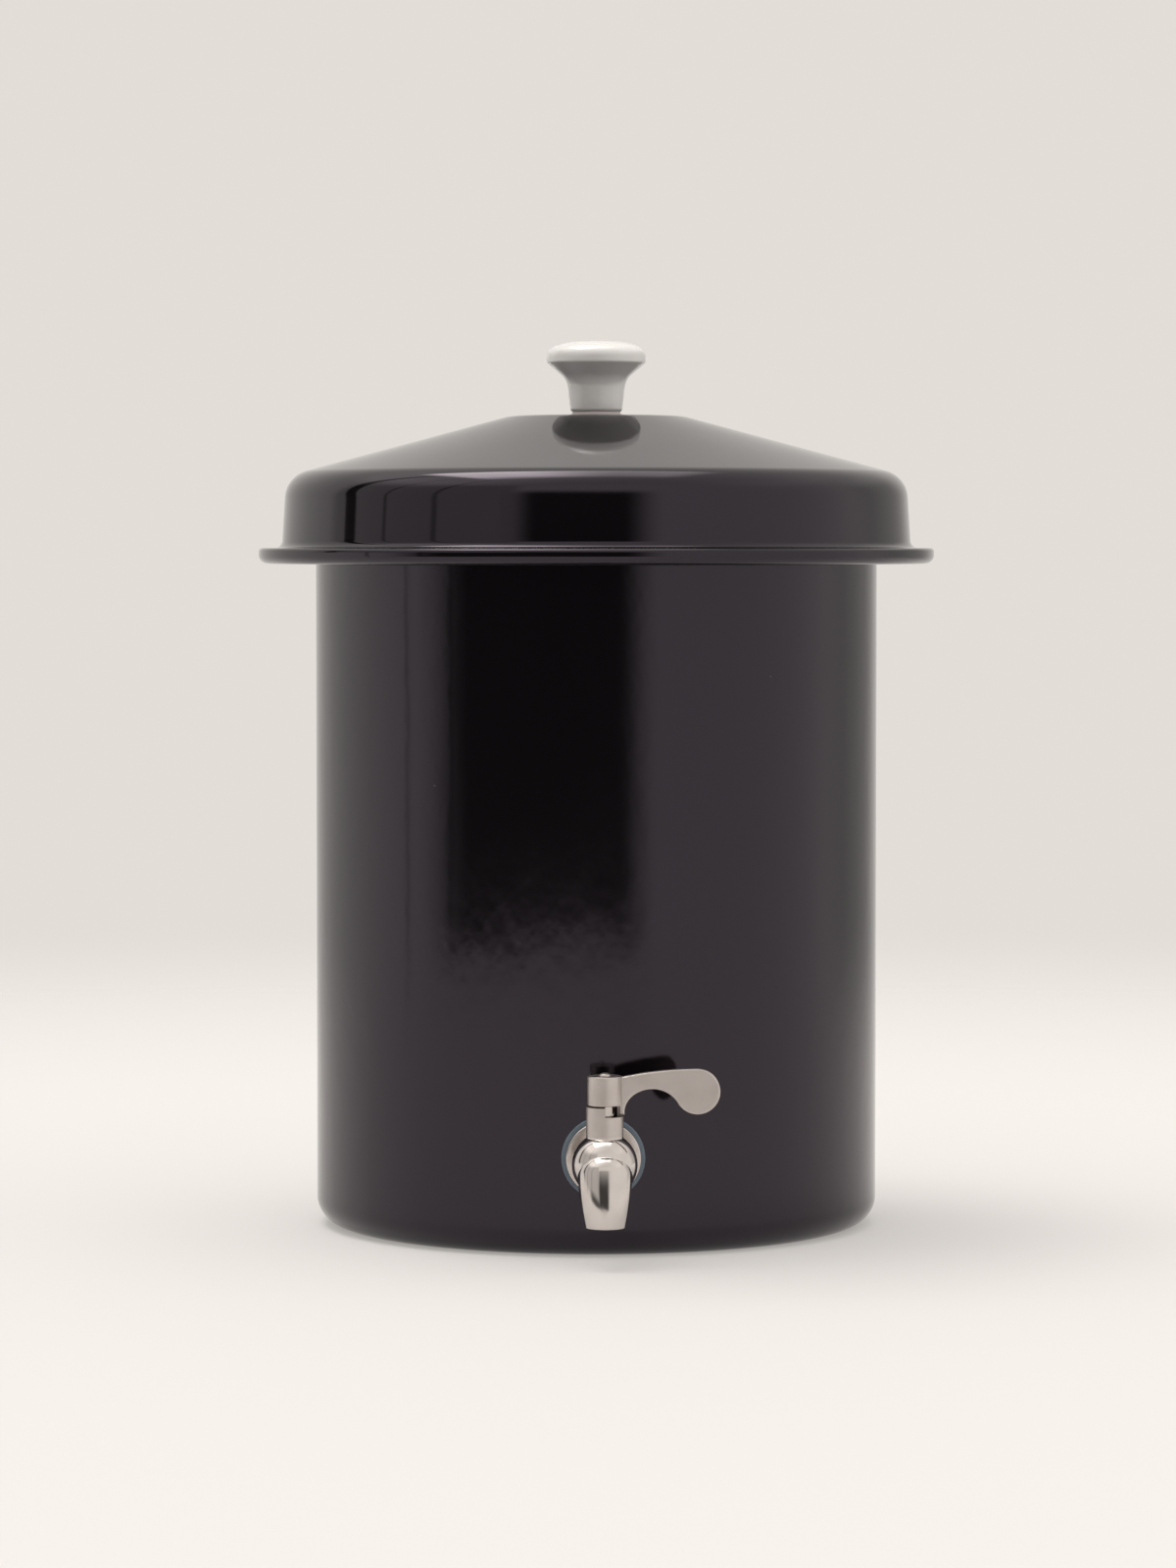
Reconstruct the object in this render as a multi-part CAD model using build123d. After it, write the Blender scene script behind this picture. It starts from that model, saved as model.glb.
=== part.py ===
from build123d import *
from math import asin, cos, degrees, radians, sin, sqrt, tan
import os

# Clay water filter: an enamelled receptacle with a lever tap, a clay filter pot that hangs in
# its mouth, and a lid that rests on the pot's rim. Millimetres, +Z up. The origin is the middle
# of the base's underside, the tap points to -Y, and the closed lever points to +X.

# Clearances that several pieces share
CUT_OVERRUN = 5.0  # how far a cutting shape passes the faces that it cuts
REST_GAP = 0.3  # between a piece that lifts off and what it rests on
RUNNING_GAP = 0.05  # radial, around the turning plug and its stem
SLIP_GAP = 0.1  # between pieces that are pushed or screwed together
SEAL_GAP = 0.05  # between a curved wall and the seal shaped to it

# Receptacle
BODY_RADIUS = 143.0
BODY_WALL = 1.6
BODY_HEIGHT = 354.0  # to the top of the rolled lip
BASE_CORNER_RADIUS = 14.0
LIP_ROLL_RADIUS = 4.0  # outside of the roll

# Clay filter pot
POT_HEIGHT = 247.0
POT_WALL = 16.0
POT_BASE_THICKNESS = 18.0
POT_BASE_RADIUS = 104.0
POT_BASE_CORNER_RADIUS = 24.0
POT_INSIDE_CORNER_RADIUS = 18.0
POT_MOUTH_CLEARANCE = 6.0  # between the pot's neck and the receptacle's mouth
POT_NECK_FILLET = 4.0
POT_RIM_HEIGHT = 28.0
POT_RIM_OVERHANG = 2.0  # past the outside of the receptacle's lip
POT_RIM_EDGE_RADIUS = 6.0  # carries the lid
POT_RIM_UNDER_RADIUS = 3.0

# Lid
LID_WALL = 1.6
LID_RIM_CLEARANCE = 5.1  # between the pot's rim and the top of the skirt
LID_SKIRT_DEPTH = 36.4  # from the shoulder's corner down to the brim
LID_SKIRT_FLARE = 2.2  # how much wider the skirt is at its foot
LID_FOOT_FILLET = 4.0
LID_SHOULDER_RADIUS = 15.0
LID_CONE_RISE = 30.7  # from the shoulder's corner up to the crown
LID_CROWN_RADIUS = 44.3
LID_CROWN_BEND = 25.0
LID_BRIM_WIDTH = 11.8
LID_BRIM_HEIGHT = 8.0
LID_BRIM_EDGE_RADIUS = 2.0
LID_HEM_RADIUS = 4.5
LID_HEM_WIDTH = 8.0

# Knob and its fixing
KNOB_HEIGHT = 36.2
KNOB_CAP_RADIUS = 25.4
KNOB_CAP_THICKNESS = 11.0
KNOB_CAP_EDGE_RADIUS = 1.6
KNOB_STEM_RADIUS = 15.0
KNOB_STEM_HEIGHT = 16.6  # where the stem's line meets the flare's
KNOB_FLARE_RADIUS = 10.5
KNOB_FOOT_RADIUS = 13.2
KNOB_FOOT_EDGE_RADIUS = 2.0
KNOB_DOME_SHARE = 0.83  # of the cap's thickness
KNOB_BEND_SHARES = (0.76, 0.8)  # of the dome's radius and height
KNOB_WASHER_RADIUS = 12.6
KNOB_WASHER_THICKNESS = 2.0
INSERT_RADIUS = 4.5
INSERT_LENGTH = 16.0
KNOB_SCREW_RADIUS = 2.5
KNOB_SCREW_HOLD = 12.0  # length inside the insert
KNOB_SCREW_HEAD_RADIUS = 4.6
KNOB_SCREW_HEAD_HEIGHT = 3.0
KNOB_SCREW_HEAD_EDGE = 1.2
KNOB_SCREW_KEY_WIDTH = 3.0  # across the flats of the hexagon socket
KNOB_SCREW_KEY_DEPTH = 1.5
KNOB_HOLE_CLEARANCE = 0.4  # around the screw in the lid
KNOB_INNER_SEAL_RADIUS = 9.0
KNOB_INNER_SEAL_THICKNESS = 1.5
KNOB_FLAT_WASHER_RADIUS = 8.0
KNOB_FLAT_WASHER_THICKNESS = 1.0

# Tap fixing, along the tap's axis
TAP_HEIGHT = 49.0
SHANK_RADIUS = 8.0
SHANK_BORE_RADIUS = 5.0
SHANK_HOLE_CLEARANCE = 0.5  # around the shank in the wall
SHANK_TAIL = 4.0  # past the lock nut
SHANK_SPIGOT_RADIUS = 7.5  # inside the tap's body
SHANK_SPIGOT_LENGTH = 8.0
FLANGE_RADIUS = 18.3
FLANGE_THICKNESS = 3.0
FLANGE_EDGE_RADIUS = 1.0
OUTER_SEAL_RADIUS = 20.4
OUTER_SEAL_THICKNESS = 2.5
INNER_SEAL_RADIUS = 15.0
INNER_SEAL_THICKNESS = 1.8
TAP_WASHER_RADIUS = 15.0
TAP_WASHER_THICKNESS = 1.5
NUT_ACROSS_FLATS = 24.0
NUT_THICKNESS = 7.0
NUT_CORNER_CUT = 1.0

# Tap body
WAIST_RADIUS = 11.0
WAIST_LENGTH = 22.5  # from the flange to the middle of the ball
WAIST_FILLET = 3.0
BALL_RADIUS = 15.8
NECK_RADIUS = 9.0
NECK_TOP = 28.0  # above the tap's axis
INLET_RADIUS = 2.8
SPOUT_RADIUS = 12.9
SPOUT_OFFSET = 6.0  # in front of the neck, at the height of the tap's axis
SPOUT_LEAN = 14.0  # degrees, with the outlet towards the front
SPOUT_DROP = 28.6  # outlet below the tap's axis
SPOUT_LIP_RADIUS = 9.6
SPOUT_LIP_EDGE = 0.6
SPOUT_WIDEST = 4.0  # below the tap's axis
SPOUT_DOME_HEIGHT = 11.0
SPOUT_BLEND = 2.0  # fillet between ball and spout
SPOUT_BORE_RADIUS = 7.2
SPOUT_BORE_DEPTH = 12.0
SPOUT_PASSAGE_RADIUS = 5.5
CHAMBER_DEPTH = 7.0  # below the tap's axis
CHAMBER_WEB = 1.0  # floor left over the spout's passage
DRAIN_RADIUS = 4.2
DRAIN_LENGTH = 7.0
DRAIN_OFFSET = 2.0  # in front of the neck

# Valve
PLUG_RADIUS = 5.2
PLUG_TOP = 8.0  # shoulder above the tap's axis
PLUG_PORT_RADIUS = 2.8
STEM_RADIUS = 4.5
DRIVE_WIDTH = 6.0  # across the flats of the square
BUSH_WALL = 1.15
THRUST_WASHER_THICKNESS = 1.2
GLAND_RECESS = 2.7  # below the step in the neck
GLAND_SLOT_WIDTH = 2.0
GLAND_SLOT_DEPTH = 2.0

# Lever
LEVER_THICKNESS = 4.0
LEVER_EDGE_RADIUS = 0.9
LEVER_SWING = 72.0  # degrees from closed to open
LEVER_ROOT_DROP = 0.6  # top edge below the collar's top, at the collar
COLLAR_RADIUS = 8.4
COLLAR_HEIGHT = 14.2
COLLAR_EDGE_RADIUS = 0.6
COLLAR_GAP = 0.7  # above the neck
COLLAR_WEB = 3.0  # over the square socket
DISC_REACH = 44.5  # from the valve's axis
DISC_RADIUS = 11.0
DISC_RISE = 3.4  # above the collar's top
ARCH_REACH = 23.0  # of its crest
ARCH_WIDTH = 13.5  # from the lug to the crest
ARCH_HEIGHT = 11.0
ARCH_DROP = 6.4  # below the collar's top
LUG_REACH = 6.9  # inner face of the stop lug
LUG_TIP = 1.2  # straight end of the lug
LUG_FLOOR_GAP = 0.8  # above the step in the neck
STOP_GAP = 0.12  # between the lug and each stop
LEVER_SCREW_RADIUS = 1.5
LEVER_SCREW_LENGTH = 8.0
LEVER_SCREW_HEAD_RADIUS = 2.8
LEVER_SCREW_HEAD_HEIGHT = 1.6
LEVER_SCREW_KEY_WIDTH = 1.8  # across the flats of the hexagon socket
LEVER_SCREW_KEY_DEPTH = 0.9

# Heights and radii that follow from the sizes above
body_inside = BODY_RADIUS - BODY_WALL
lip_outside = body_inside + 2 * LIP_ROLL_RADIUS

pot_rim_radius = lip_outside + POT_RIM_OVERHANG
pot_neck_radius = body_inside - POT_MOUTH_CLEARANCE
pot_rim_base = BODY_HEIGHT + REST_GAP
pot_top = pot_rim_base + POT_RIM_HEIGHT
pot_bottom = pot_top - POT_HEIGHT

skirt_radius = pot_rim_radius + LID_RIM_CLEARANCE + LID_WALL
skirt_foot_radius = skirt_radius + LID_SKIRT_FLARE
brim_radius = skirt_foot_radius + LID_BRIM_WIDTH

seal_sag = body_inside - sqrt(body_inside**2 - INNER_SEAL_RADIUS**2)
inner_seal_face = BODY_WALL + seal_sag + INNER_SEAL_THICKNESS
nut_face = inner_seal_face + TAP_WASHER_THICKNESS
shank_end = nut_face + NUT_THICKNESS + SHANK_TAIL
flange_face = OUTER_SEAL_THICKNESS + FLANGE_THICKNESS
spigot_end = flange_face + SHANK_SPIGOT_LENGTH
neck_reach = flange_face + WAIST_LENGTH
outlet_offset = SPOUT_OFFSET + SPOUT_DROP * tan(radians(SPOUT_LEAN))

bush_bore = PLUG_RADIUS + RUNNING_GAP
bush_radius = bush_bore + BUSH_WALL
chamber_radius = bush_radius + SLIP_GAP
stem_clearance_radius = STEM_RADIUS + RUNNING_GAP

collar_base = NECK_TOP + COLLAR_GAP
collar_top = collar_base + COLLAR_HEIGHT
arch_top = collar_top - ARCH_DROP
lug_bottom = arch_top - ARCH_HEIGHT - LUG_TIP
step_floor = lug_bottom - LUG_FLOOR_GAP

washer_top = PLUG_TOP + THRUST_WASHER_THICKNESS + SLIP_GAP
ring_section = (chamber_radius - STEM_RADIUS) / 2 - SLIP_GAP
gland_base = washer_top + 2 * ring_section
gland_top = step_floor - GLAND_RECESS

# The tap's axis runs out of the wall, and the valve's axis runs up through ball and neck
tap_frame = Plane(origin=(0, -BODY_RADIUS, TAP_HEIGHT), x_dir=(1, 0, 0), z_dir=(0, -1, 0))
valve_frame = Plane(origin=(0, -(BODY_RADIUS + neck_reach), TAP_HEIGHT))
spout_frame = valve_frame * Pos(0, -SPOUT_OFFSET, 0) * Rot(-SPOUT_LEAN, 0, 0)


def lathe(edges):
    """Turn a closed outline, drawn as radius and height, about the height axis."""
    return revolve(Plane.XZ * make_face(edges), Axis.Z)


def closed(path):
    """Close an open outline with a straight line from its end to its start."""
    return [*path.edges(), Line(path @ 1, path @ 0)]


def rod(radius, low, high):
    """Cylinder about the height axis between two heights."""
    return Pos(0, 0, low) * Cylinder(radius, high - low, align=(Align.CENTER, Align.CENTER, Align.MIN))


def ring(outer, inner, low, high):
    """Flat ring about the height axis between two heights."""
    return rod(outer, low, high) - rod(inner, low - CUT_OVERRUN, high + CUT_OVERRUN)


def prism(across_flats, sides, low, high):
    """Regular prism about the height axis between two heights."""
    outline = RegularPolygon(across_flats / 2, sides, major_radius=False)
    return Pos(0, 0, low) * extrude(outline, high - low)


def corner_centre(before, corner, after, radius):
    """Centre of the arc that rounds a corner of an outline."""
    to_before = (Vector(*before) - Vector(*corner)).normalized()
    to_after = (Vector(*after) - Vector(*corner)).normalized()
    half_angle = radians(to_before.get_angle(to_after) / 2)
    return Vector(*corner) + (to_before + to_after).normalized() * (radius / sin(half_angle))


def make_receptacle():
    """Cylinder with a rounded base corner, a lip rolled outwards and the hole for the tap."""
    inner_corner = BASE_CORNER_RADIUS - BODY_WALL
    base_flat = BODY_RADIUS - BASE_CORNER_RADIUS
    roll_centre = (body_inside + LIP_ROLL_RADIUS, BODY_HEIGHT - LIP_ROLL_RADIUS)
    roll_inside = CenterArc(roll_centre, LIP_ROLL_RADIUS - BODY_WALL, 180, -270)
    roll_outside = CenterArc(roll_centre, LIP_ROLL_RADIUS, 180, -270)
    outside = FilletPolyline((0, 0), (BODY_RADIUS, 0), roll_inside @ 0, radius=[BASE_CORNER_RADIUS])
    inside = FilletPolyline((0, BODY_WALL), (body_inside, BODY_WALL), roll_outside @ 0, radius=[inner_corner])
    shell = lathe([
        *outside.edges(),
        roll_inside,
        Line(roll_inside @ 1, roll_outside @ 1),
        roll_outside,
        *inside.edges(),
        Line((0, BODY_WALL), (0, 0)),
    ])
    hole = rod(SHANK_RADIUS + SHANK_HOLE_CLEARANCE, -base_flat / 2, CUT_OVERRUN)
    return shell - tap_frame * hole


def make_filter_pot():
    """Thick tapered clay pot with a broad rim that overhangs the receptacle's lip."""
    inside_floor = pot_bottom + POT_BASE_THICKNESS
    path = FilletPolyline(
        (0, pot_bottom),
        (POT_BASE_RADIUS, pot_bottom),
        (pot_neck_radius, pot_rim_base),
        (pot_rim_radius, pot_rim_base),
        (pot_rim_radius, pot_top),
        (pot_neck_radius - POT_WALL, pot_top),
        (POT_BASE_RADIUS - POT_WALL, inside_floor),
        (0, inside_floor),
        radius=[
            POT_BASE_CORNER_RADIUS,
            POT_NECK_FILLET,
            POT_RIM_UNDER_RADIUS,
            POT_RIM_EDGE_RADIUS,
            POT_RIM_EDGE_RADIUS,
            POT_INSIDE_CORNER_RADIUS,
        ],
    )
    return lathe(closed(path))


# Lid outline, with heights above the foot of the brim
shoulder_corner = (skirt_radius, LID_BRIM_HEIGHT + LID_SKIRT_DEPTH)
crown_height = LID_BRIM_HEIGHT + LID_SKIRT_DEPTH + LID_CONE_RISE
crown_edge = (LID_CROWN_RADIUS, crown_height)
skirt_foot = (skirt_foot_radius, LID_BRIM_HEIGHT)

# The inside of the lid's shoulder touches the rounded edge of the pot's rim, but for the rest gap
shoulder_centre = corner_centre(crown_edge, shoulder_corner, skirt_foot, LID_SHOULDER_RADIUS)
seat_reach = LID_SHOULDER_RADIUS - LID_WALL - POT_RIM_EDGE_RADIUS - REST_GAP
seat_offset = pot_rim_radius - POT_RIM_EDGE_RADIUS - shoulder_centre.X
seat_height = pot_top - POT_RIM_EDGE_RADIUS - sqrt(seat_reach**2 - seat_offset**2)
lid_base = seat_height - shoulder_centre.Y
crown_top = lid_base + crown_height
crown_under = crown_top - LID_WALL
knob_base = crown_top + KNOB_WASHER_THICKNESS


def make_lid_shell():
    """Sheet lid: crown, cone, shoulder and skirt, with a flat brim whose edge is turned under."""
    sheet = FilletPolyline(
        (KNOB_SCREW_RADIUS + KNOB_HOLE_CLEARANCE, crown_height),
        crown_edge,
        shoulder_corner,
        skirt_foot,
        (brim_radius, LID_BRIM_HEIGHT),
        (brim_radius, 0),
        (brim_radius - LID_HEM_WIDTH, 0),
        radius=[
            LID_CROWN_BEND,
            LID_SHOULDER_RADIUS,
            LID_FOOT_FILLET,
            LID_BRIM_EDGE_RADIUS,
            LID_HEM_RADIUS,
        ],
    )
    section = Wire(sheet.edges()).offset_2d(LID_WALL, side=Side.RIGHT)
    return Pos(0, 0, lid_base) * lathe(section.edges())


def make_lid_knob():
    """Porcelain knob: flared stem under a domed cap, with a blind hole for the insert."""
    cap_under = KNOB_HEIGHT - KNOB_CAP_THICKNESS
    dome_height = KNOB_CAP_THICKNESS * KNOB_DOME_SHARE
    dome_base = KNOB_HEIGHT - dome_height
    side = FilletPolyline(
        (0, 0),
        (KNOB_FOOT_RADIUS, 0),
        (KNOB_STEM_RADIUS, KNOB_STEM_HEIGHT),
        (KNOB_CAP_RADIUS, cap_under),
        (KNOB_CAP_RADIUS, dome_base),
        radius=[KNOB_FOOT_EDGE_RADIUS, KNOB_FLARE_RADIUS, KNOB_CAP_EDGE_RADIUS],
    )
    bend = (KNOB_CAP_RADIUS * KNOB_BEND_SHARES[0], dome_base + dome_height * KNOB_BEND_SHARES[1])
    dome = Spline(side @ 1, bend, (0, KNOB_HEIGHT), tangents=((0, 1), (-1, 0)))
    solid = lathe([*side.edges(), dome, Line((0, KNOB_HEIGHT), (0, 0))])
    hole = rod(INSERT_RADIUS + SLIP_GAP, -CUT_OVERRUN, INSERT_LENGTH)
    return Pos(0, 0, knob_base) * (solid - hole)


def make_knob_screw():
    """Pan-head screw from under the lid up into the knob's insert."""
    seat = crown_under - KNOB_INNER_SEAL_THICKNESS - KNOB_FLAT_WASHER_THICKNESS
    head_base = seat - KNOB_SCREW_HEAD_HEIGHT
    head = rod(KNOB_SCREW_HEAD_RADIUS, head_base, seat)
    head = fillet(head.edges().sort_by(Axis.Z)[0], KNOB_SCREW_HEAD_EDGE)
    shank = rod(KNOB_SCREW_RADIUS, seat, knob_base + KNOB_SCREW_HOLD)
    key = prism(KNOB_SCREW_KEY_WIDTH, 6, head_base - CUT_OVERRUN, head_base + KNOB_SCREW_KEY_DEPTH)
    return head + shank - key


def knob_fixing():
    """The pieces that hold the knob, from the insert down to the flat washer."""
    bore = KNOB_SCREW_RADIUS + SLIP_GAP
    seal_base = crown_under - KNOB_INNER_SEAL_THICKNESS
    return {
        "knob_insert": ring(INSERT_RADIUS, bore, knob_base, knob_base + INSERT_LENGTH),
        "knob_washer": ring(KNOB_WASHER_RADIUS, bore, crown_top, knob_base),
        "knob_inner_seal": ring(KNOB_INNER_SEAL_RADIUS, bore, seal_base, crown_under),
        "knob_flat_washer": ring(
            KNOB_FLAT_WASHER_RADIUS, bore, seal_base - KNOB_FLAT_WASHER_THICKNESS, seal_base
        ),
        "knob_screw": make_knob_screw(),
    }


def make_tap_shank():
    """Tube through the wall with its flange, and the spigot that the tap's body is pushed on."""
    flange = rod(FLANGE_RADIUS, OUTER_SEAL_THICKNESS, flange_face)
    flange = fillet(flange.edges().sort_by(Axis.Z)[-1], FLANGE_EDGE_RADIUS)
    tube = rod(SHANK_RADIUS, -shank_end, OUTER_SEAL_THICKNESS)
    spigot = rod(SHANK_SPIGOT_RADIUS, flange_face, spigot_end)
    bore = rod(SHANK_BORE_RADIUS, -shank_end - CUT_OVERRUN, spigot_end + CUT_OVERRUN)
    return tap_frame * (tube + flange + spigot - bore)


def make_lock_nut():
    """Hexagon nut with its corners turned off at both ends."""
    low = -nut_face - NUT_THICKNESS
    hexagon = prism(NUT_ACROSS_FLATS, 6, low, -nut_face)
    corner_radius = NUT_ACROSS_FLATS / sqrt(3)
    turned = chamfer(rod(corner_radius, low, -nut_face).edges().filter_by(GeomType.CIRCLE), NUT_CORNER_CUT)
    hole = rod(SHANK_RADIUS + SLIP_GAP, low - CUT_OVERRUN, CUT_OVERRUN)
    return tap_frame * ((hexagon & turned) - hole)


def tap_fixing():
    """The shank and the pieces that clamp it to the receptacle's wall."""
    bore = SHANK_RADIUS + SLIP_GAP
    wall_outside = rod(BODY_RADIUS + SEAL_GAP, 0, BODY_HEIGHT)
    wall_inside = rod(body_inside - SEAL_GAP, 0, BODY_HEIGHT)
    outer_sag = BODY_RADIUS - sqrt(BODY_RADIUS**2 - OUTER_SEAL_RADIUS**2)
    outer = ring(OUTER_SEAL_RADIUS, bore, -outer_sag, OUTER_SEAL_THICKNESS)
    inner = ring(INNER_SEAL_RADIUS, bore, -inner_seal_face, 0)
    return {
        "tap_shank": make_tap_shank(),
        "tap_outer_seal": tap_frame * outer - wall_outside,
        "tap_inner_seal": tap_frame * inner & wall_inside,
        "tap_flat_washer": tap_frame * ring(TAP_WASHER_RADIUS, bore, -nut_face, -inner_seal_face),
        "tap_lock_nut": make_lock_nut(),
    }


def make_spout():
    """Bullet-shaped spout that leans forwards, with its outlet cut level."""
    lip_fall = SPOUT_DROP / cos(radians(SPOUT_LEAN)) - SPOUT_WIDEST
    taper = SPOUT_RADIUS - SPOUT_LIP_RADIUS
    side_radius = (lip_fall**2 + taper**2) / (2 * taper)
    end_fall = lip_fall + SPOUT_LIP_RADIUS
    side_centre = (SPOUT_RADIUS - side_radius, -SPOUT_WIDEST)
    side = CenterArc(side_centre, side_radius, 0, -degrees(asin(end_fall / side_radius)))
    dome = EllipticalCenterArc((0, -SPOUT_WIDEST), SPOUT_RADIUS, SPOUT_DOME_HEIGHT, arc_size=90)
    base = Polyline(side @ 1, (0, -SPOUT_WIDEST - end_fall), dome @ 1)
    bullet = spout_frame * lathe([dome, side, *base.edges()])
    spout = bullet - valve_frame * rod(2 * end_fall, -2 * end_fall, -SPOUT_DROP)
    outlet = spout.faces().sort_by(Axis.Z)[0]
    return fillet(outlet.edges(), SPOUT_LIP_EDGE)


def make_tap_body():
    """Waist, ball, neck and spout in one piece, bored for shank, valve and outlet."""
    to_valve = Pos(0, 0, neck_reach)
    waist = tap_frame * rod(WAIST_RADIUS, flange_face, neck_reach)
    rear = waist + tap_frame * to_valve * Sphere(BALL_RADIUS) + valve_frame * rod(NECK_RADIUS, 0, NECK_TOP)
    waist_edge = rear.edges().filter_by(GeomType.CIRCLE).sort_by(Axis.Y)[-2]
    rear = fillet(waist_edge, WAIST_FILLET)
    body = rear + make_spout()
    blend_edges = [
        edge
        for edge in body.edges()
        if edge.geom_type not in (GeomType.CIRCLE, GeomType.LINE) and edge.length > SPOUT_RADIUS
    ]
    body = fillet(blend_edges, SPOUT_BLEND)

    socket = rod(SHANK_SPIGOT_RADIUS + SLIP_GAP, flange_face - CUT_OVERRUN, spigot_end)
    inlet = rod(INLET_RADIUS, flange_face, neck_reach)
    chamber = rod(chamber_radius, -CHAMBER_DEPTH, NECK_TOP + CUT_OVERRUN)
    drain = Pos(0, -DRAIN_OFFSET, 0) * rod(DRAIN_RADIUS, -CHAMBER_DEPTH - DRAIN_LENGTH, 0)
    bore_top = SPOUT_BORE_DEPTH - SPOUT_DROP
    outlet = Pos(0, -outlet_offset, 0) * rod(SPOUT_BORE_RADIUS, -SPOUT_DROP - CUT_OVERRUN, bore_top)
    passage = rod(SPOUT_PASSAGE_RADIUS, bore_top, -CHAMBER_DEPTH - CHAMBER_WEB)
    body -= tap_frame * (socket + inlet)
    body -= valve_frame * (chamber + drain + outlet + neck_step())
    return body - spout_frame * passage


def neck_step():
    """Quarter of the neck's top that is cut away, so that its two walls stop the lever's lug."""
    swing = radians(LEVER_SWING)
    open_wall = LUG_REACH * cos(swing) - LEVER_THICKNESS / 2 * sin(swing) - STOP_GAP
    closed_wall = LEVER_THICKNESS / 2 + STOP_GAP
    reach = 2 * NECK_RADIUS
    quarter = Box(reach, reach, NECK_TOP, align=(Align.MIN, Align.MAX, Align.MIN))
    return Pos(open_wall, closed_wall, step_floor) * quarter


def make_valve_plug():
    """Turning plug: barrel with a side port and an axial bore, stem and square drive."""
    barrel = rod(PLUG_RADIUS, SLIP_GAP - CHAMBER_DEPTH, PLUG_TOP)
    stem = rod(STEM_RADIUS, PLUG_TOP, collar_base)
    drive = prism(DRIVE_WIDTH, 4, collar_base, collar_top - COLLAR_WEB - SLIP_GAP)
    bore = rod(PLUG_PORT_RADIUS, -CHAMBER_DEPTH - CUT_OVERRUN, 0)
    port = rod(PLUG_PORT_RADIUS, 0, PLUG_RADIUS + CUT_OVERRUN) + Sphere(PLUG_PORT_RADIUS)
    facing_inlet = Rot(-90, 0, 0)
    closed_port = Rot(0, 0, LEVER_SWING) * facing_inlet * port
    thread = rod(LEVER_SCREW_RADIUS + SLIP_GAP, collar_top - LEVER_SCREW_LENGTH, collar_top)
    return valve_frame * (barrel + stem + drive - bore - closed_port - thread)


def make_seat_bush():
    """Soft bush around the plug, with the inlet hole in its back."""
    bush = ring(bush_radius, bush_bore, -CHAMBER_DEPTH, PLUG_TOP)
    inlet = Rot(-90, 0, 0) * rod(INLET_RADIUS, 0, bush_radius + CUT_OVERRUN)
    return valve_frame * (bush - inlet)


def make_gland_nut():
    """Slotted ring that holds the stem's washer and seal down."""
    nut = ring(bush_radius, stem_clearance_radius, gland_base, gland_top)
    slot = Pos(0, 0, gland_top) * Box(2 * chamber_radius, GLAND_SLOT_WIDTH, 2 * GLAND_SLOT_DEPTH)
    return valve_frame * (nut - slot)


def valve_pieces():
    """Everything inside the neck, from the plug up to the gland."""
    ring_radius = (chamber_radius + STEM_RADIUS) / 2
    washer = ring(bush_radius, stem_clearance_radius, PLUG_TOP + SLIP_GAP, washer_top)
    return {
        "seat_bush": make_seat_bush(),
        "valve_plug": make_valve_plug(),
        "thrust_washer": valve_frame * washer,
        "stem_o_ring": valve_frame * Pos(0, 0, washer_top + ring_section) * Torus(ring_radius, ring_section),
        "gland_nut": make_gland_nut(),
    }


def lever_outline():
    """Outline of the flat lever: rising top edge, end disc, arch and stop lug."""
    disc = Vector(DISC_REACH, collar_top + DISC_RISE - DISC_RADIUS)
    crest = Vector(ARCH_REACH, arch_top)
    root = (LUG_REACH, collar_top - LEVER_ROOT_DROP)
    arch_centre = (ARCH_REACH, arch_top - ARCH_HEIGHT)
    lug_outside = ARCH_REACH - ARCH_WIDTH
    arch_foot = (lug_outside, arch_top - ARCH_HEIGHT)

    # The arch runs into the disc along an arc that is level at the crest and touches the disc
    span = disc - crest
    swoop_radius = (span.X**2 + span.Y**2 - DISC_RADIUS**2) / (2 * (DISC_RADIUS - span.Y))
    swoop_centre = crest - Vector(0, swoop_radius)
    meeting = disc + (swoop_centre - disc).normalized() * DISC_RADIUS
    disc_top = disc + Vector(0, DISC_RADIUS)

    end = ThreePointArc(meeting, disc + Vector(DISC_RADIUS, 0), disc_top)
    top = TangentArc(disc_top, root, tangent=(-1, 0))
    lug = Polyline(root, (LUG_REACH, lug_bottom), (lug_outside, lug_bottom), arch_foot)
    arch = EllipticalCenterArc(arch_centre, ARCH_WIDTH, ARCH_HEIGHT, start_angle=90, arc_size=90)
    swoop = TangentArc(crest, meeting, tangent=(1, 0))
    return make_face([end, top, *lug.edges(), arch, swoop])


def make_tap_lever():
    """Flat lever with a collar that fits over the plug's square drive."""
    plate = extrude(Plane.XZ * lever_outline(), LEVER_THICKNESS / 2, both=True)
    sides = plate.faces().filter_by(Axis.Y)
    plate = fillet(sides.edges(), LEVER_EDGE_RADIUS)
    collar = rod(COLLAR_RADIUS, collar_base, collar_top)
    collar = fillet(collar.edges().filter_by(GeomType.CIRCLE), COLLAR_EDGE_RADIUS)
    socket_top = collar_top - COLLAR_WEB
    socket = prism(DRIVE_WIDTH + 2 * SLIP_GAP, 4, collar_base - CUT_OVERRUN, socket_top)
    screw_hole = rod(LEVER_SCREW_RADIUS + SLIP_GAP, collar_base, collar_top + CUT_OVERRUN)
    return valve_frame * (plate + collar - socket - screw_hole)


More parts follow.
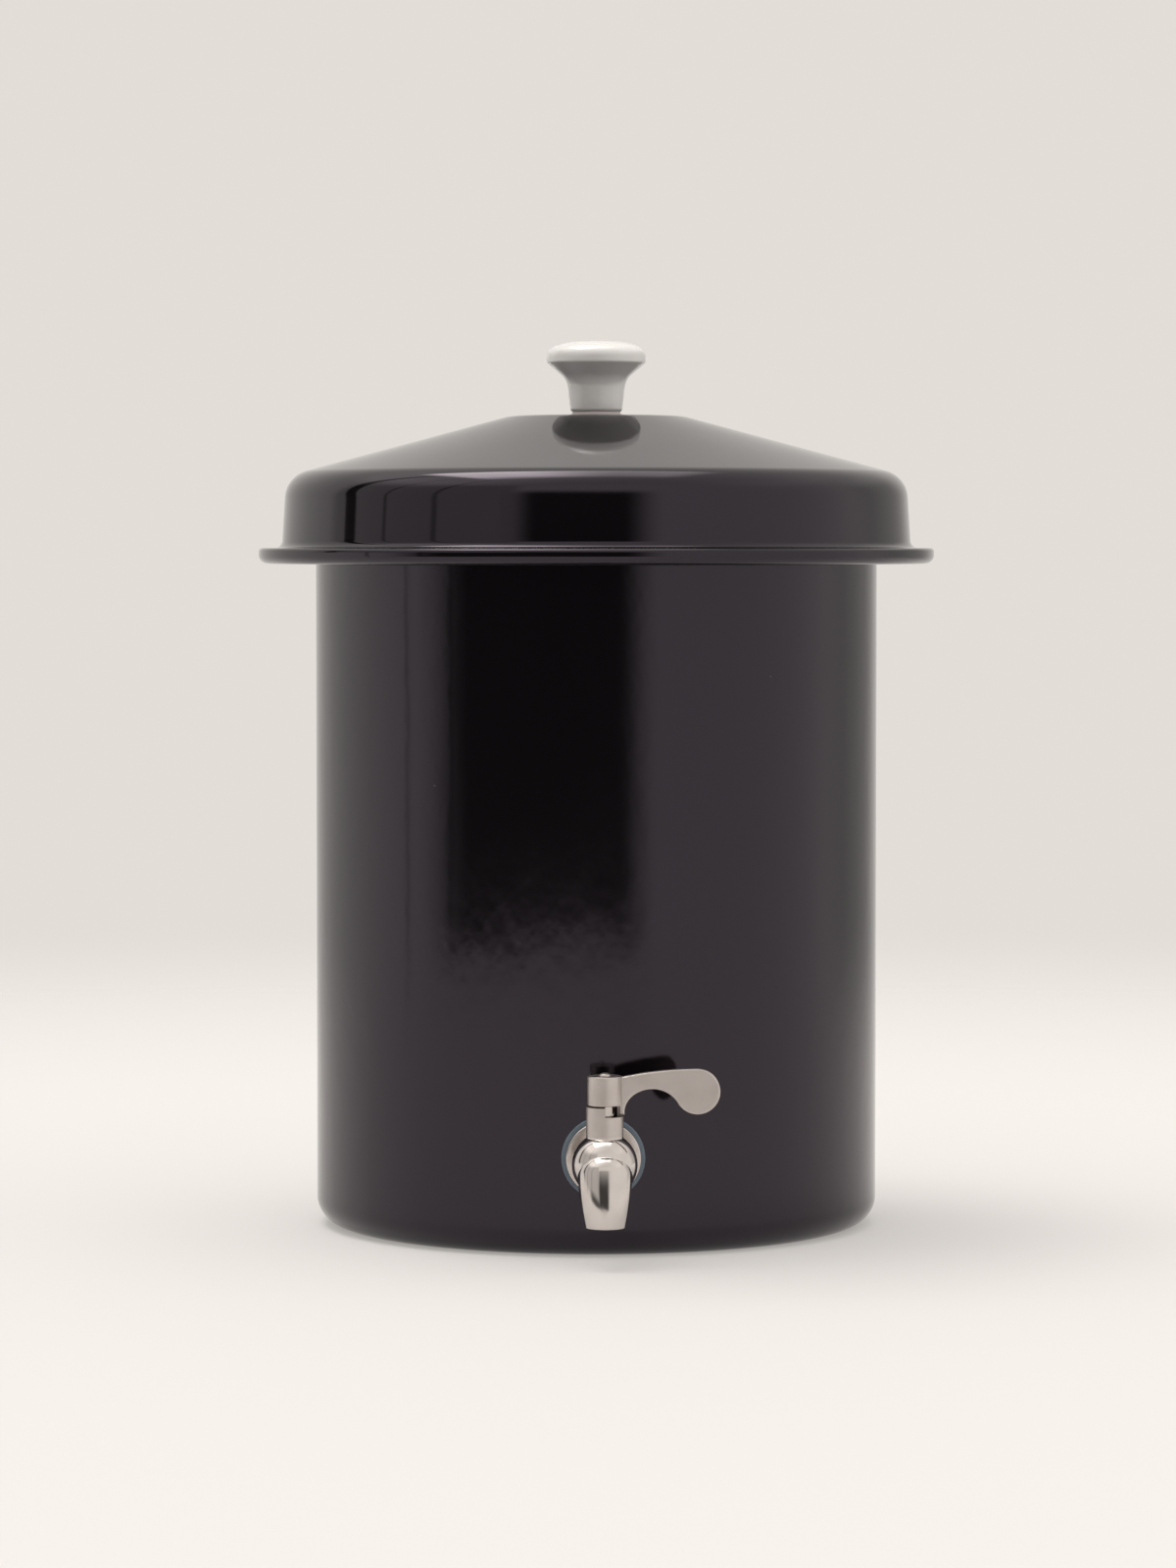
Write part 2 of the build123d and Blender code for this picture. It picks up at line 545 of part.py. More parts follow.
def make_lever_screw():
    """Domed screw that holds the lever on the plug."""
    shank = rod(LEVER_SCREW_RADIUS, collar_top - LEVER_SCREW_LENGTH, collar_top)
    dome = EllipticalCenterArc((0, 0), LEVER_SCREW_HEAD_RADIUS, LEVER_SCREW_HEAD_HEIGHT, arc_size=90)
    base = Polyline(dome @ 1, (0, 0), dome @ 0)
    head = Pos(0, 0, collar_top) * lathe([dome, *base.edges()])
    head_top = collar_top + LEVER_SCREW_HEAD_HEIGHT
    key = prism(LEVER_SCREW_KEY_WIDTH, 6, head_top - LEVER_SCREW_KEY_DEPTH, head_top + CUT_OVERRUN)
    return valve_frame * (shank + head - key)


pieces = {
    "receptacle": make_receptacle(),
    "filter_pot": make_filter_pot(),
    "lid_shell": make_lid_shell(),
    "lid_knob": make_lid_knob(),
    **knob_fixing(),
    **tap_fixing(),
    "tap_body": make_tap_body(),
    **valve_pieces(),
    "tap_lever": make_tap_lever(),
    "lever_screw": make_lever_screw(),
}

os.makedirs("parts", exist_ok=True)
for name, solid in pieces.items():
    solid.label = name
    export_step(solid, f"parts/{name}.step")
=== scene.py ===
# %% [markdown]
# # A clay water filter
# An enamelled steel drum with a small steel tap at its foot, a thick clay pot that hangs in the
# drum's mouth, and a wide lid with a porcelain knob. The CAD model fixes each size, place and
# joint. In this lesson the turned pieces get a clean mesh made for rendering, every piece gets
# a finish of its own, and all stay in the same frame as the CAD and in metres.

# %% Load the CAD frame
from math import ceil, cos, degrees, pi, radians, sin, sqrt, tan

import bmesh
import bpy
from mathutils import Matrix, Vector


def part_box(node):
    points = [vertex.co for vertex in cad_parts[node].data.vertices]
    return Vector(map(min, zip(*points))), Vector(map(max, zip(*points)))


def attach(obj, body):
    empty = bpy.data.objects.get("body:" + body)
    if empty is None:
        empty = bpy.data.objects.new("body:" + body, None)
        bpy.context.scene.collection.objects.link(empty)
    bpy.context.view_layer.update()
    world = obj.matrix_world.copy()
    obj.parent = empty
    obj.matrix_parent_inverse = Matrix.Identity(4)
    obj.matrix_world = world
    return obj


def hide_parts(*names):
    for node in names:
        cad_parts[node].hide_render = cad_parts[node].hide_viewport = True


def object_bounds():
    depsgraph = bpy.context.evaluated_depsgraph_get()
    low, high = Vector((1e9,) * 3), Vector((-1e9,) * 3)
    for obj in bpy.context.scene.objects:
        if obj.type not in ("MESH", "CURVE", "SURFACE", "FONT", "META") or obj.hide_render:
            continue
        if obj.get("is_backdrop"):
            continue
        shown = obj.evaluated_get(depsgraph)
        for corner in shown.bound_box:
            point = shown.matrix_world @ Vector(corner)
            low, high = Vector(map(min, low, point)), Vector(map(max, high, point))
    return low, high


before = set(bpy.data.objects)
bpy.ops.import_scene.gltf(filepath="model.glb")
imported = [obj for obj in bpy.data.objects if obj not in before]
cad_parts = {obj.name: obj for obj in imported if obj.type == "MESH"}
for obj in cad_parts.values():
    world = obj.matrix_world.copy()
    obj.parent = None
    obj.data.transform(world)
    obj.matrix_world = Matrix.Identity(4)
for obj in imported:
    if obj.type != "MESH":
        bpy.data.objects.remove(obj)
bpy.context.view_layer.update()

# %% [markdown]
# ## A short way to write nodes
# Finishes and Geometry Nodes are both node trees, and both need sums. A class that wraps an output
# socket lets Python's own operators add the Math nodes, so a formula in the code reads as a
# formula. Any other node comes from one method: its type, its settings, then its sockets.


# %% Sockets that take part in sums
class Wire:
    """An output socket in a tree: each operator adds one Math node."""

    def __init__(self, sheet, socket):
        self.sheet = sheet
        self.socket = socket

    def maths(self, operation, *others):
        return self.sheet.maths(operation, self, *others)

    def __add__(self, other):
        return self.sheet.maths("ADD", self, other)

    def __radd__(self, other):
        return self.sheet.maths("ADD", other, self)

    def __sub__(self, other):
        return self.sheet.maths("SUBTRACT", self, other)

    def __rsub__(self, other):
        return self.sheet.maths("SUBTRACT", other, self)

    def __mul__(self, other):
        return self.sheet.maths("MULTIPLY", self, other)

    def __truediv__(self, other):
        return self.sheet.maths("DIVIDE", self, other)

    def __neg__(self):
        return self.sheet.maths("MULTIPLY", self, -1.0)

    def step(self, low, high):
        """Smooth rise from 0 at low to 1 at high, or a fall where low is the greater."""
        settings = {"interpolation_type": "SMOOTHSTEP"}
        return self.sheet.node("ShaderNodeMapRange", settings, {0: self, 1: low, 2: high, 3: 0.0, 4: 1.0})


# %% A tree that is written node by node
class Sheet:
    """A node tree with one method for any node."""

    def __init__(self, tree):
        self.tree = tree

    def node(self, kind, settings=None, inputs=None, output=0):
        made = self.tree.nodes.new(kind)
        for name, value in (settings or {}).items():
            setattr(made, name, value)
        for key, value in (inputs or {}).items():
            self.feed(made.inputs[key], value)
        return Wire(self, made.outputs[output]) if made.outputs else made

    def maths(self, operation, *values):
        return self.node("ShaderNodeMath", {"operation": operation}, dict(enumerate(values)))

    def feed(self, socket, value):
        if isinstance(value, Wire):
            self.tree.links.new(value.socket, socket)
        else:
            socket.default_value = value


# %% [markdown]
# ## Finishes
# A finish is a material whose inputs vary a little over the piece: glaze pools, clay has grains,
# polish has faint smears. All of them read Object coordinates, which are metres in the CAD frame,
# so a scale of 1000 is one cycle per millimetre on every piece.


# %% A material with the pattern nodes that every finish uses
class Finish(Sheet):
    """A Principled material: plain numbers go on its sockets, and patterns are linked to them."""

    def __init__(self, name):
        self.material = bpy.data.materials.new(name)
        self.material.use_nodes = True
        super().__init__(self.material.node_tree)
        self.shader = self.tree.nodes["Principled BSDF"]
        self.place = self.node("ShaderNodeTexCoord", output="Object")

    def set(self, **values):
        for name, value in values.items():
            self.feed(self.shader.inputs[name.replace("_", " ").title().replace("Ior", "IOR")], value)

    def noise(self, per_metre, detail=3.0, stretch=(1.0, 1.0, 1.0), roughness=0.5):
        stretched = {"Vector": self.place, "Scale": stretch}
        place = self.node("ShaderNodeMapping", {"vector_type": "POINT"}, stretched)
        sockets = {"Vector": place, "Scale": per_metre, "Detail": detail, "Roughness": roughness}
        return self.node("ShaderNodeTexNoise", {"noise_dimensions": "3D"}, sockets, "Fac")

    def cells(self, per_metre):
        sockets = {"Vector": self.place, "Scale": per_metre}
        return self.node("ShaderNodeTexVoronoi", {"feature": "F1"}, sockets, "Distance")

    def mix(self, factor, first, second):
        colours = {0: factor, 6: (*first, 1.0) if isinstance(first, tuple) else first, 7: (*second, 1.0)}
        return self.node("ShaderNodeMix", {"data_type": "RGBA"}, colours, 2)

    def bump(self, *layers):
        """Stack bump layers, each a height pattern and its height in metres."""
        normal = None
        for height, depth in layers:
            sockets = {"Height": height, "Distance": depth, "Strength": 1.0}
            if normal:
                sockets["Normal"] = normal
            normal = self.node("ShaderNodeBump", None, sockets)
        self.feed(self.shader.inputs["Normal"], normal)


finishes = {}

# %% [markdown]
# ### Black vitreous enamel
# Enamel is coloured glass fused on steel. It is almost black, so nearly all that is seen is what
# it mirrors. Its surface is never quite flat: the sheet has long shallow waves, the glass has
# small ripples and a fine orange peel, and a few specks of dust lie on it. The lid is glossier
# than the drum, whose stronger ripples break up what it mirrors. One function makes both, with a
# loss of gloss and three heights as its settings.


# %% Enamel for drum and lid
def enamel(name, gloss_loss, wave_height, ripple_height, peel_height):
    finish = Finish(name)
    specks = finish.cells(95.0).step(0.052, 0.03) * finish.noise(31.0).step(0.6, 0.66)
    smears = finish.noise(16.0, 4.0, (1.0, 1.0, 0.35)).step(0.42, 0.72)
    finish.set(
        base_color=finish.mix(specks, (0.0022, 0.0016, 0.0022), (0.16, 0.15, 0.15)),
        roughness=gloss_loss + smears * 0.02 + specks * 0.3,
        specular_tint=(0.93, 0.82, 1.0, 1.0),
        specular_ior_level=0.53,
    )
    waves = finish.noise(9.0, 1.0)
    ripples = finish.noise(75.0, 2.0, (1.0, 1.0, 0.6))
    peel = finish.noise(420.0, 1.0)
    finish.bump((waves, wave_height), (ripples, ripple_height), (peel, peel_height))
    return finish


finishes["enamel"] = enamel("enamel_drum", 0.085, 0.0006, 0.0001, 0.000004)
finishes["enamel_lid"] = enamel("enamel_lid", 0.045, 0.0008, 0.000004, 0.000003)
print("enamel finishes:", [finishes[name].material.name for name in ("enamel", "enamel_lid")])

# %% [markdown]
# ### Clay, porcelain and the small parts
# Fired clay is dull and grainy, with pores, darker fire marks and faint rings from the wheel; the pores' dark
# colour is painted shade.
# Porcelain is a white body under clear glaze, which a Coat layer stands for. The steel is hand
# polished: bright, with soft smears along the polishing direction. Silicone and rubber are dull
# with a fine grain. Brass and plastic are inside, and get their plain finish.

# %% Fired clay
clay = Finish("fired_clay")
height = clay.node("ShaderNodeSeparateXYZ", None, {0: clay.place}, "Z")
ring_wander = clay.noise(14.0, 2.0)
wheel_rings = (height * 1500.0 + ring_wander * 9.0).maths("SINE")
grains = clay.noise(900.0, 4.0, roughness=0.65)
# The pores' dark colour is painted shade inside the holes; their bump gives the depth.
pores_with_painted_shade = clay.cells(420.0).step(0.16, 0.08) * clay.noise(160.0).step(0.5, 0.6)
fire_marks = clay.noise(13.0, 5.0).step(0.4, 0.75)
pale = clay.mix(grains.step(0.3, 0.7), (0.50, 0.225, 0.115), (0.64, 0.315, 0.17))
fired = clay.mix(fire_marks * 0.6, pale, (0.42, 0.165, 0.085))
clay.set(base_color=clay.mix(pores_with_painted_shade * 0.8, fired, (0.17, 0.07, 0.04)), roughness=0.86 + grains * 0.1)
clay.set(specular_ior_level=0.25)
clay.bump((wheel_rings, 0.00006), (grains, 0.00016), (1.0 - pores_with_painted_shade, 0.0003))
finishes["clay"] = clay

# %% Glazed porcelain
porcelain = Finish("glazed_porcelain")
glaze_pools = porcelain.noise(60.0, 2.0)
iron_specks = porcelain.cells(150.0).step(0.04, 0.02) * porcelain.noise(44.0).step(0.58, 0.64)
body_white = porcelain.mix(glaze_pools.step(0.3, 0.8), (0.81, 0.805, 0.795), (0.84, 0.84, 0.83))
porcelain.set(base_color=porcelain.mix(iron_specks * 0.5, body_white, (0.45, 0.40, 0.34)))
porcelain.set(roughness=0.16 + glaze_pools * 0.06, coat_weight=0.6 + glaze_pools * 0.2, coat_roughness=0.03)
porcelain.set(subsurface_weight=0.12, subsurface_radius=(0.006, 0.005, 0.004), subsurface_scale=0.4)
porcelain.bump((porcelain.noise(28.0, 1.0), 0.0004), (porcelain.noise(300.0, 1.0), 0.000006))
finishes["porcelain"] = porcelain

# %% Hand-polished steel, with turned steel and brass from the same recipe
def metal(name, colour, worn_and_shaded, gloss_loss, satin_loss, satin_from, smear_stretch, wave_height):
    """Metal that is glossy up to a height, in metres, and satin above it, where painted shade also darkens
    its colour.
    """
    finish = Finish(name)
    smears = finish.noise(240.0, 4.0, smear_stretch)
    clouds = finish.noise(70.0, 2.0)
    spots = finish.cells(520.0).step(0.1, 0.05) * finish.noise(130.0).step(0.6, 0.68)
    height = finish.node("ShaderNodeSeparateXYZ", None, {0: finish.place}, "Z")
    # Above this height the roughness rises to satin, and the colour is darkened a little as painted shade for
    # the darker reflections of the upper tap.
    satin_and_painted_shade = height.step(satin_from - 0.001, satin_from + 0.001)
    finish.set(
        base_color=finish.mix(clouds.step(0.35, 0.8) * 0.3 + spots * 0.3 + satin_and_painted_shade * 0.4, colour, worn_and_shaded),
        metallic=1.0,
        roughness=gloss_loss + satin_and_painted_shade * satin_loss + smears.step(0.35, 0.85) * 0.08 + spots * 0.2,
    )
    finish.bump((clouds, wave_height), (smears, 0.000004))
    return finish


STEEL, DULL_STEEL = (0.64, 0.60, 0.575), (0.46, 0.41, 0.38)
finishes["polished"] = metal("polished_steel", STEEL, DULL_STEEL, 0.07, 0.30, 0.0625, (1, 1, 0.2), 0.00006)
finishes["stainless"] = metal("turned_steel", STEEL, DULL_STEEL, 0.16, 0.0, 0.0, (1, 5, 1), 0.00002)
BRASS, DULL_BRASS = (0.72, 0.52, 0.25), (0.55, 0.37, 0.16)
finishes["brass"] = metal("turned_brass", BRASS, DULL_BRASS, 0.22, 0.0, 0.0, (1, 1, 6), 0.00002)

# %% Silicone, plastic and rubber
def soft(name, colour, shade, roughness, grain_height):
    finish = Finish(name)
    grain = finish.noise(1400.0, 2.0)
    clouds = finish.noise(90.0, 3.0)
    lint = finish.cells(700.0).step(0.07, 0.03) * finish.noise(210.0).step(0.6, 0.66)
    tone = finish.mix(clouds.step(0.3, 0.75), colour, shade)
    finish.set(base_color=finish.mix(lint * 0.35, tone, (0.7, 0.7, 0.68)), roughness=roughness + grain * 0.12)
    finish.bump((grain, grain_height))
    return finish


finishes["blue_silicone"] = soft("silicone_blue", (0.175, 0.23, 0.285), (0.145, 0.195, 0.245), 0.42, 0.00003)
finishes["pale_silicone"] = soft("silicone_pale", (0.80, 0.73, 0.71), (0.74, 0.67, 0.65), 0.45, 0.00003)
finishes["white_plastic"] = soft("plastic_white", (0.78, 0.78, 0.76), (0.72, 0.72, 0.70), 0.34, 0.00001)
finishes["black_rubber"] = soft("rubber_black", (0.022, 0.022, 0.024), (0.03, 0.03, 0.031), 0.55, 0.00004)
print("finishes:", sorted(finishes))

# %% Give each carried CAD node the finish of its slot
SPECIAL = {"tap_body": "polished", "tap_lever": "polished", "lever_screw": "polished"}
for name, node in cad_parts.items():
    slot_name = node.data.materials[0].name.split(".")[0]
    node.data.materials[0] = finishes[SPECIAL.get(name, slot_name)].material
print("CAD nodes with a finish:", len(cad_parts))

# %% [markdown]
# ## Outlines
# Drum, lid, knob and pot are all turned shapes, so each is drawn once as an outline of radius and
# height and then swept round the axis. A rounded corner is an arc that touches both of its lines.
# A long flat run gets extra points close to its ends: they hold the shading flat there, so that a
# mirror-like surface shows no swelling beside a bend.

# %% Draw an outline with rounded corners
MM = 0.001


def arc(centre, radius, start, sweep, steps):
    """Points of an arc, with angles in degrees."""
    turns = [radians(start + sweep * step / steps) for step in range(steps + 1)]
    return [Vector((centre[0] + radius * cos(turn), centre[1] + radius * sin(turn))) for turn in turns]


def rounded(corners, radii, degrees_per_step=4.0):
    """Outline through the corners, with each inner corner rounded to its radius."""
    corners = [Vector(corner) for corner in corners]
    points = [corners[0]]
    for before, corner, after, radius in zip(corners, corners[1:], corners[2:], radii):
        back, forth = (before - corner).normalized(), (after - corner).normalized()
        half = back.angle(forth) / 2
        centre = corner + (back + forth).normalized() * (radius / sin(half))
        arm = corner + back * (radius / tan(half)) - centre
        turn = (pi - 2 * half) * (1 if back.x * forth.y - back.y * forth.x < 0 else -1)
        steps = max(3, ceil(degrees(abs(turn)) / degrees_per_step))
        points += [centre + Matrix.Rotation(turn * step / steps, 2) @ arm for step in range(steps + 1)]
    return [*points, corners[-1]]


def held(points, longest=25.0, hold=0.8):
    """Split long runs, with the first and last split close to the run's ends."""
    result = [points[0]]
    for before, after in zip(points, points[1:]):
        run = (after - before).length
        if run > 4 * hold:
            shares = [hold / run, *(step / ceil(run / longest) for step in range(1, ceil(run / longest)))]
            result += [before.lerp(after, share) for share in (*shares, 1 - hold / run)]
        result.append(after)
    pairs = zip(result, [None, *result])
    return [point for point, last in pairs if last is None or (point - last).length > 1e-6]


# %% [markdown]
# ## The turning recipe
# Blender has a Screw modifier for turned shapes. Here Geometry Nodes does it, because the whole
# rule is then in one tree with named inputs: the outline, made a curve, is swept along a small
# circle, and what meets on the axis is merged. The result is made a plain mesh, its faces are
# turned outwards, and a sheet-metal piece then gets its wall from Solidify.

# %% Geometry Nodes: turn an outline about the height axis
turning = bpy.data.node_groups.new("turned", "GeometryNodeTree")
for name, direction, kind in (
    ("Outline", "INPUT", "NodeSocketGeometry"),
    ("Segments", "INPUT", "NodeSocketInt"),
    ("Finish", "INPUT", "NodeSocketMaterial"),
    ("Turned", "OUTPUT", "NodeSocketGeometry"),
):
    turning.interface.new_socket(name, in_out=direction, socket_type=kind)

HUB = 0.001
tree = Sheet(turning)
given = turning.nodes.new("NodeGroupInput")
moved = {"Geometry": Wire(tree, given.outputs["Outline"]), "Translation": (-HUB, 0, 0), "Scale": (1, -1, 1)}
outline_mesh = tree.node("GeometryNodeTransform", None, moved)
outline_curve = tree.node("GeometryNodeMeshToCurve", None, {"Mesh": outline_mesh})
circle = tree.node("GeometryNodeCurvePrimitiveCircle", {"mode": "RADIUS"}, {
    "Resolution": Wire(tree, given.outputs["Segments"]),
    "Radius": HUB,
})
swept = tree.node("GeometryNodeCurveToMesh", None, {"Curve": circle, "Profile Curve": outline_curve})
merged = tree.node("GeometryNodeMergeByDistance", None, {"Geometry": swept, "Distance": 1e-6})
smooth = tree.node("GeometryNodeSetShadeSmooth", None, {"Geometry": merged})
real = tree.node("GeometryNodeRealizeInstances", None, {"Geometry": smooth})
coloured = tree.node("GeometryNodeSetMaterial", None, {
    "Geometry": real,
    "Material": Wire(tree, given.outputs["Finish"]),
})
tree.node("NodeGroupOutput", None, {"Turned": coloured})
print("turning tree:", len(turning.nodes), "nodes")


# %% Helpers that run a tree and keep its result as a plain mesh
def new_object(name, mesh):
    obj = bpy.data.objects.new(name, mesh)
    bpy.context.scene.collection.objects.link(obj)
    return obj


def plain_mesh(name, create, **shape):
    """A mesh made by one of bmesh's plain shapes."""
    mesh = bpy.data.meshes.new(name)
    working = bmesh.new()
    create(working, **shape)
    working.to_mesh(mesh)
    working.free()
    return mesh


def run_tree(obj, tree, **values):
    """Run a Geometry Nodes tree on an object, with its inputs given by name."""
    modifier = obj.modifiers.new("recipe", "NODES")
    modifier.node_group = tree
    for item in tree.interface.items_tree:
        if item.in_out == "INPUT" and item.name in values:
            modifier[item.identifier] = values[item.name]
    keep_result(obj)
    obj.data.materials.clear()
    obj.data.materials.append(values["Finish"])
    obj.data.polygons.foreach_set("material_index", [0] * len(obj.data.polygons))


def keep_result(obj):
    """Replace an object's mesh by what its modifiers make, and remove them."""
    evaluated = obj.evaluated_get(bpy.context.evaluated_depsgraph_get())
    result = bpy.data.meshes.new_from_object(evaluated)
    obj.modifiers.clear()
    obj.data = result


def face_outwards(mesh):
    working = bmesh.new()
    working.from_mesh(mesh)
    bmesh.ops.remove_doubles(working, verts=working.verts, dist=1e-7)
    bmesh.ops.recalc_face_normals(working, faces=working.faces)
    working.to_mesh(mesh)
    working.free()


def turned(name, outline, finish, segments=256, wall=None, sharp=35.0, ring=False):
    """Turn an outline in millimetres, give it a wall if it is a sheet, and mark its sharp edges."""
    mesh = bpy.data.meshes.new(name)
    points = [(MM * point.x, MM * point.y, 0.0) for point in outline]
    edges = [(index, index + 1) for index in range(len(points) - 1)]
    mesh.from_pydata(points, edges + [(len(points) - 1, 0)] * ring, [])
    obj = new_object(name, mesh)
    run_tree(obj, turning, Segments=segments, Finish=finishes[finish].material)
    face_outwards(obj.data)
    if wall:
        solidify = obj.modifiers.new("wall", "SOLIDIFY")
        solidify.thickness = MM * wall
        solidify.offset = -1.0
        solidify.use_even_offset = True
        keep_result(obj)
    obj.data.set_sharp_from_angle(angle=radians(sharp))
    return obj


def stands_for(obj, node, body):
    """Let a mesh ride on its CAD body in place of a CAD node, and print how well it fits."""
    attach(obj, body)
    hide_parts(node)
    bpy.context.view_layer.update()
    corners = [Vector(corner) for corner in obj.bound_box]
    low = Vector(min(corner[axis] for corner in corners) for axis in range(3))
    high = Vector(max(corner[axis] for corner in corners) for axis in range(3))
    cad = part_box(node)
    off = max(abs(value) for gap in (low - cad[0], high - cad[1]) for value in gap)
    size = [round(1000 * side, 1) for side in high - low]
    print(f"{obj.name}: {len(obj.data.polygons)} faces, {size} mm, {1000 * off:.2f} mm off the CAD's box")
    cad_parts[node].hide_render = True


# %% [markdown]
# ## The drum
# The drum is pressed and welded sheet with a rounded foot and a lip that curls outwards. The sheet
# is drawn along its inner face, because that face is the outside of the curl, and Solidify then
# grows the wall on the far side. The hole for the tap is a Boolean cut. It lies between two rings
# of edges and under the tap's seal, so the cut can't disturb the shading that is seen.

# %% Turn the drum and cut its hole
BODY_RADIUS, BODY_WALL, BODY_HEIGHT = 143.0, 1.6, 354.0
BASE_CORNER, LIP_ROLL = 14.0, 4.0
TAP_HEIGHT, TAP_HOLE = 49.0, 8.5

inside = BODY_RADIUS - BODY_WALL
foot_corners = [(0, BODY_WALL), (inside, BODY_WALL), (inside, BODY_HEIGHT - LIP_ROLL)]
foot = rounded(foot_corners, [BASE_CORNER - BODY_WALL])
curl = arc((inside + LIP_ROLL, BODY_HEIGHT - LIP_ROLL), LIP_ROLL, 180, -270, 40)
drum = turned("drum_shell", held(foot + curl[1:], 12.0), "enamel", 288, BODY_WALL)

CUTTER_LENGTH = 0.03
TAP_PLACE = Matrix.Translation((0, -MM * BODY_RADIUS, MM * TAP_HEIGHT)) @ Matrix.Rotation(radians(90), 4, "X")
hole_size = {"radius1": MM * TAP_HOLE, "radius2": MM * TAP_HOLE, "depth": CUTTER_LENGTH, "matrix": TAP_PLACE}
hole_mesh = plain_mesh("hole_cutter", bmesh.ops.create_cone, cap_ends=True, segments=64, **hole_size)
cutter = new_object("hole_cutter", hole_mesh)
cut = drum.modifiers.new("hole", "BOOLEAN")
cut.object = cutter
keep_result(drum)
bpy.data.objects.remove(cutter)
drum.data.set_sharp_from_angle(angle=radians(35))
stands_for(drum, "receptacle", "receptacle")

# %% [markdown]
# ## The lid
# The lid is one sheet too: a flat crown round the knob, a shallow cone, a rounded shoulder, a skirt
# that widens a little towards its foot, and a flat brim whose edge is turned under. Its heights
# count from the foot of the brim, and it is lifted to where the CAD lid sits.

# %% Turn the lid
LID_WALL, SKIRT_RADIUS, SKIRT_FOOT, BRIM_RADIUS = 1.6, 158.1, 160.3, 172.1
BRIM_HEIGHT, SHOULDER_HEIGHT, CROWN_HEIGHT, CROWN_RADIUS = 8.0, 44.4, 75.1, 44.3
SCREW_HOLE, HEM_WIDTH = 2.9, 8.0
lid_base = 1000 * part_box("lid_shell")[0].z
lid_corners = [
    (SCREW_HOLE, CROWN_HEIGHT),
    (CROWN_RADIUS, CROWN_HEIGHT),
    (SKIRT_RADIUS, SHOULDER_HEIGHT),
    (SKIRT_FOOT, BRIM_HEIGHT),
    (BRIM_RADIUS, BRIM_HEIGHT),
    (BRIM_RADIUS, 0),
    (BRIM_RADIUS - HEM_WIDTH, 0),
]
lid_outline = rounded(lid_corners, [25.0, 15.0, 4.0, 2.0, 4.5])
lid_outline = [point + Vector((0, lid_base)) for point in lid_outline]
lid = turned("lid_sheet", held(lid_outline), "enamel_lid", 288, LID_WALL)
stands_for(lid, "lid_shell", "lid")

# %% [markdown]
# ## The knob
# The knob is porcelain, cast round a blind hole: a foot, a stem that widens upwards, a broad flare
# and a domed cap. The dome is flatter on top than an ellipse and rounder at its edge. A
# superellipse draws that with one exponent: 2 is an ellipse, and a greater one is squarer.

# %% Turn the knob
KNOB_HEIGHT, CAP_RADIUS, CAP_THICKNESS, FLARE_RADIUS = 36.2, 25.4, 11.0, 10.5
STEM_RADIUS, STEM_HEIGHT, FOOT_RADIUS = 15.0, 16.6, 13.2
HOLE_RADIUS, HOLE_DEPTH = 4.6, 16.0
DOME_SHARE, DOME_EXPONENT = 0.83, 2.75
knob_base = 1000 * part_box("lid_knob")[0].z
dome_height = CAP_THICKNESS * DOME_SHARE
cap_under = KNOB_HEIGHT - CAP_THICKNESS
knob_corners = [
    (0, HOLE_DEPTH),
    (HOLE_RADIUS, HOLE_DEPTH),
    (HOLE_RADIUS, 0),
    (FOOT_RADIUS, 0),
    (STEM_RADIUS, STEM_HEIGHT),
    (CAP_RADIUS, cap_under),
    (CAP_RADIUS, KNOB_HEIGHT - dome_height),
]
knob_outline = rounded(knob_corners, [0.2, 0.2, 2.0, FLARE_RADIUS, 1.6])
for step in range(1, 41):
    turn = pi / 2 * step / 40
    across, up = max(cos(turn), 0.0) ** (2 / DOME_EXPONENT), sin(turn) ** (2 / DOME_EXPONENT)
    knob_outline.append(Vector((CAP_RADIUS * across, KNOB_HEIGHT - dome_height * (1 - up))))
knob_outline = [point + Vector((0, knob_base)) for point in knob_outline]
knob = turned("knob_porcelain", held(knob_outline, 8.0, 0.3), "porcelain", 160)
stands_for(knob, "lid_knob", "lid")

# %% [markdown]
# ## The clay pot
# The pot is thrown or pressed in a mould, thick walled, with a broad rim that hangs on the drum's
# lip. It only shows when the lid is off or the pot is lifted out.

# %% Turn the pot
POT_BASE, POT_NECK, POT_RIM, POT_WALL, POT_FLOOR = 104.0, 135.4, 151.4, 16.0, 18.0
pot_low, pot_high = (1000 * corner.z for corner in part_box("filter_pot"))
POT_RIM_HEIGHT = 28.0
rim_base = pot_high - POT_RIM_HEIGHT
pot_corners = [
    (0, pot_low),
    (POT_BASE, pot_low),
    (POT_NECK, rim_base),
    (POT_RIM, rim_base),
    (POT_RIM, pot_high),
    (POT_NECK - POT_WALL, pot_high),
    (POT_BASE - POT_WALL, pot_low + POT_FLOOR),
    (0, pot_low + POT_FLOOR),
]
pot_outline = rounded(pot_corners, [24.0, 4.0, 3.0, 6.0, 6.0, 18.0], 6.0)
pot = turned("clay_pot", held(pot_outline, 6.0), "clay", 224)
stands_for(pot, "filter_pot", "filter")

# %% [markdown]
# ## The washer under the knob
# A soft washer keeps porcelain and enamel apart. Cut rubber has slightly rounded edges and swells a
# little where it is squeezed, which a turned outline with one bulged side shows.

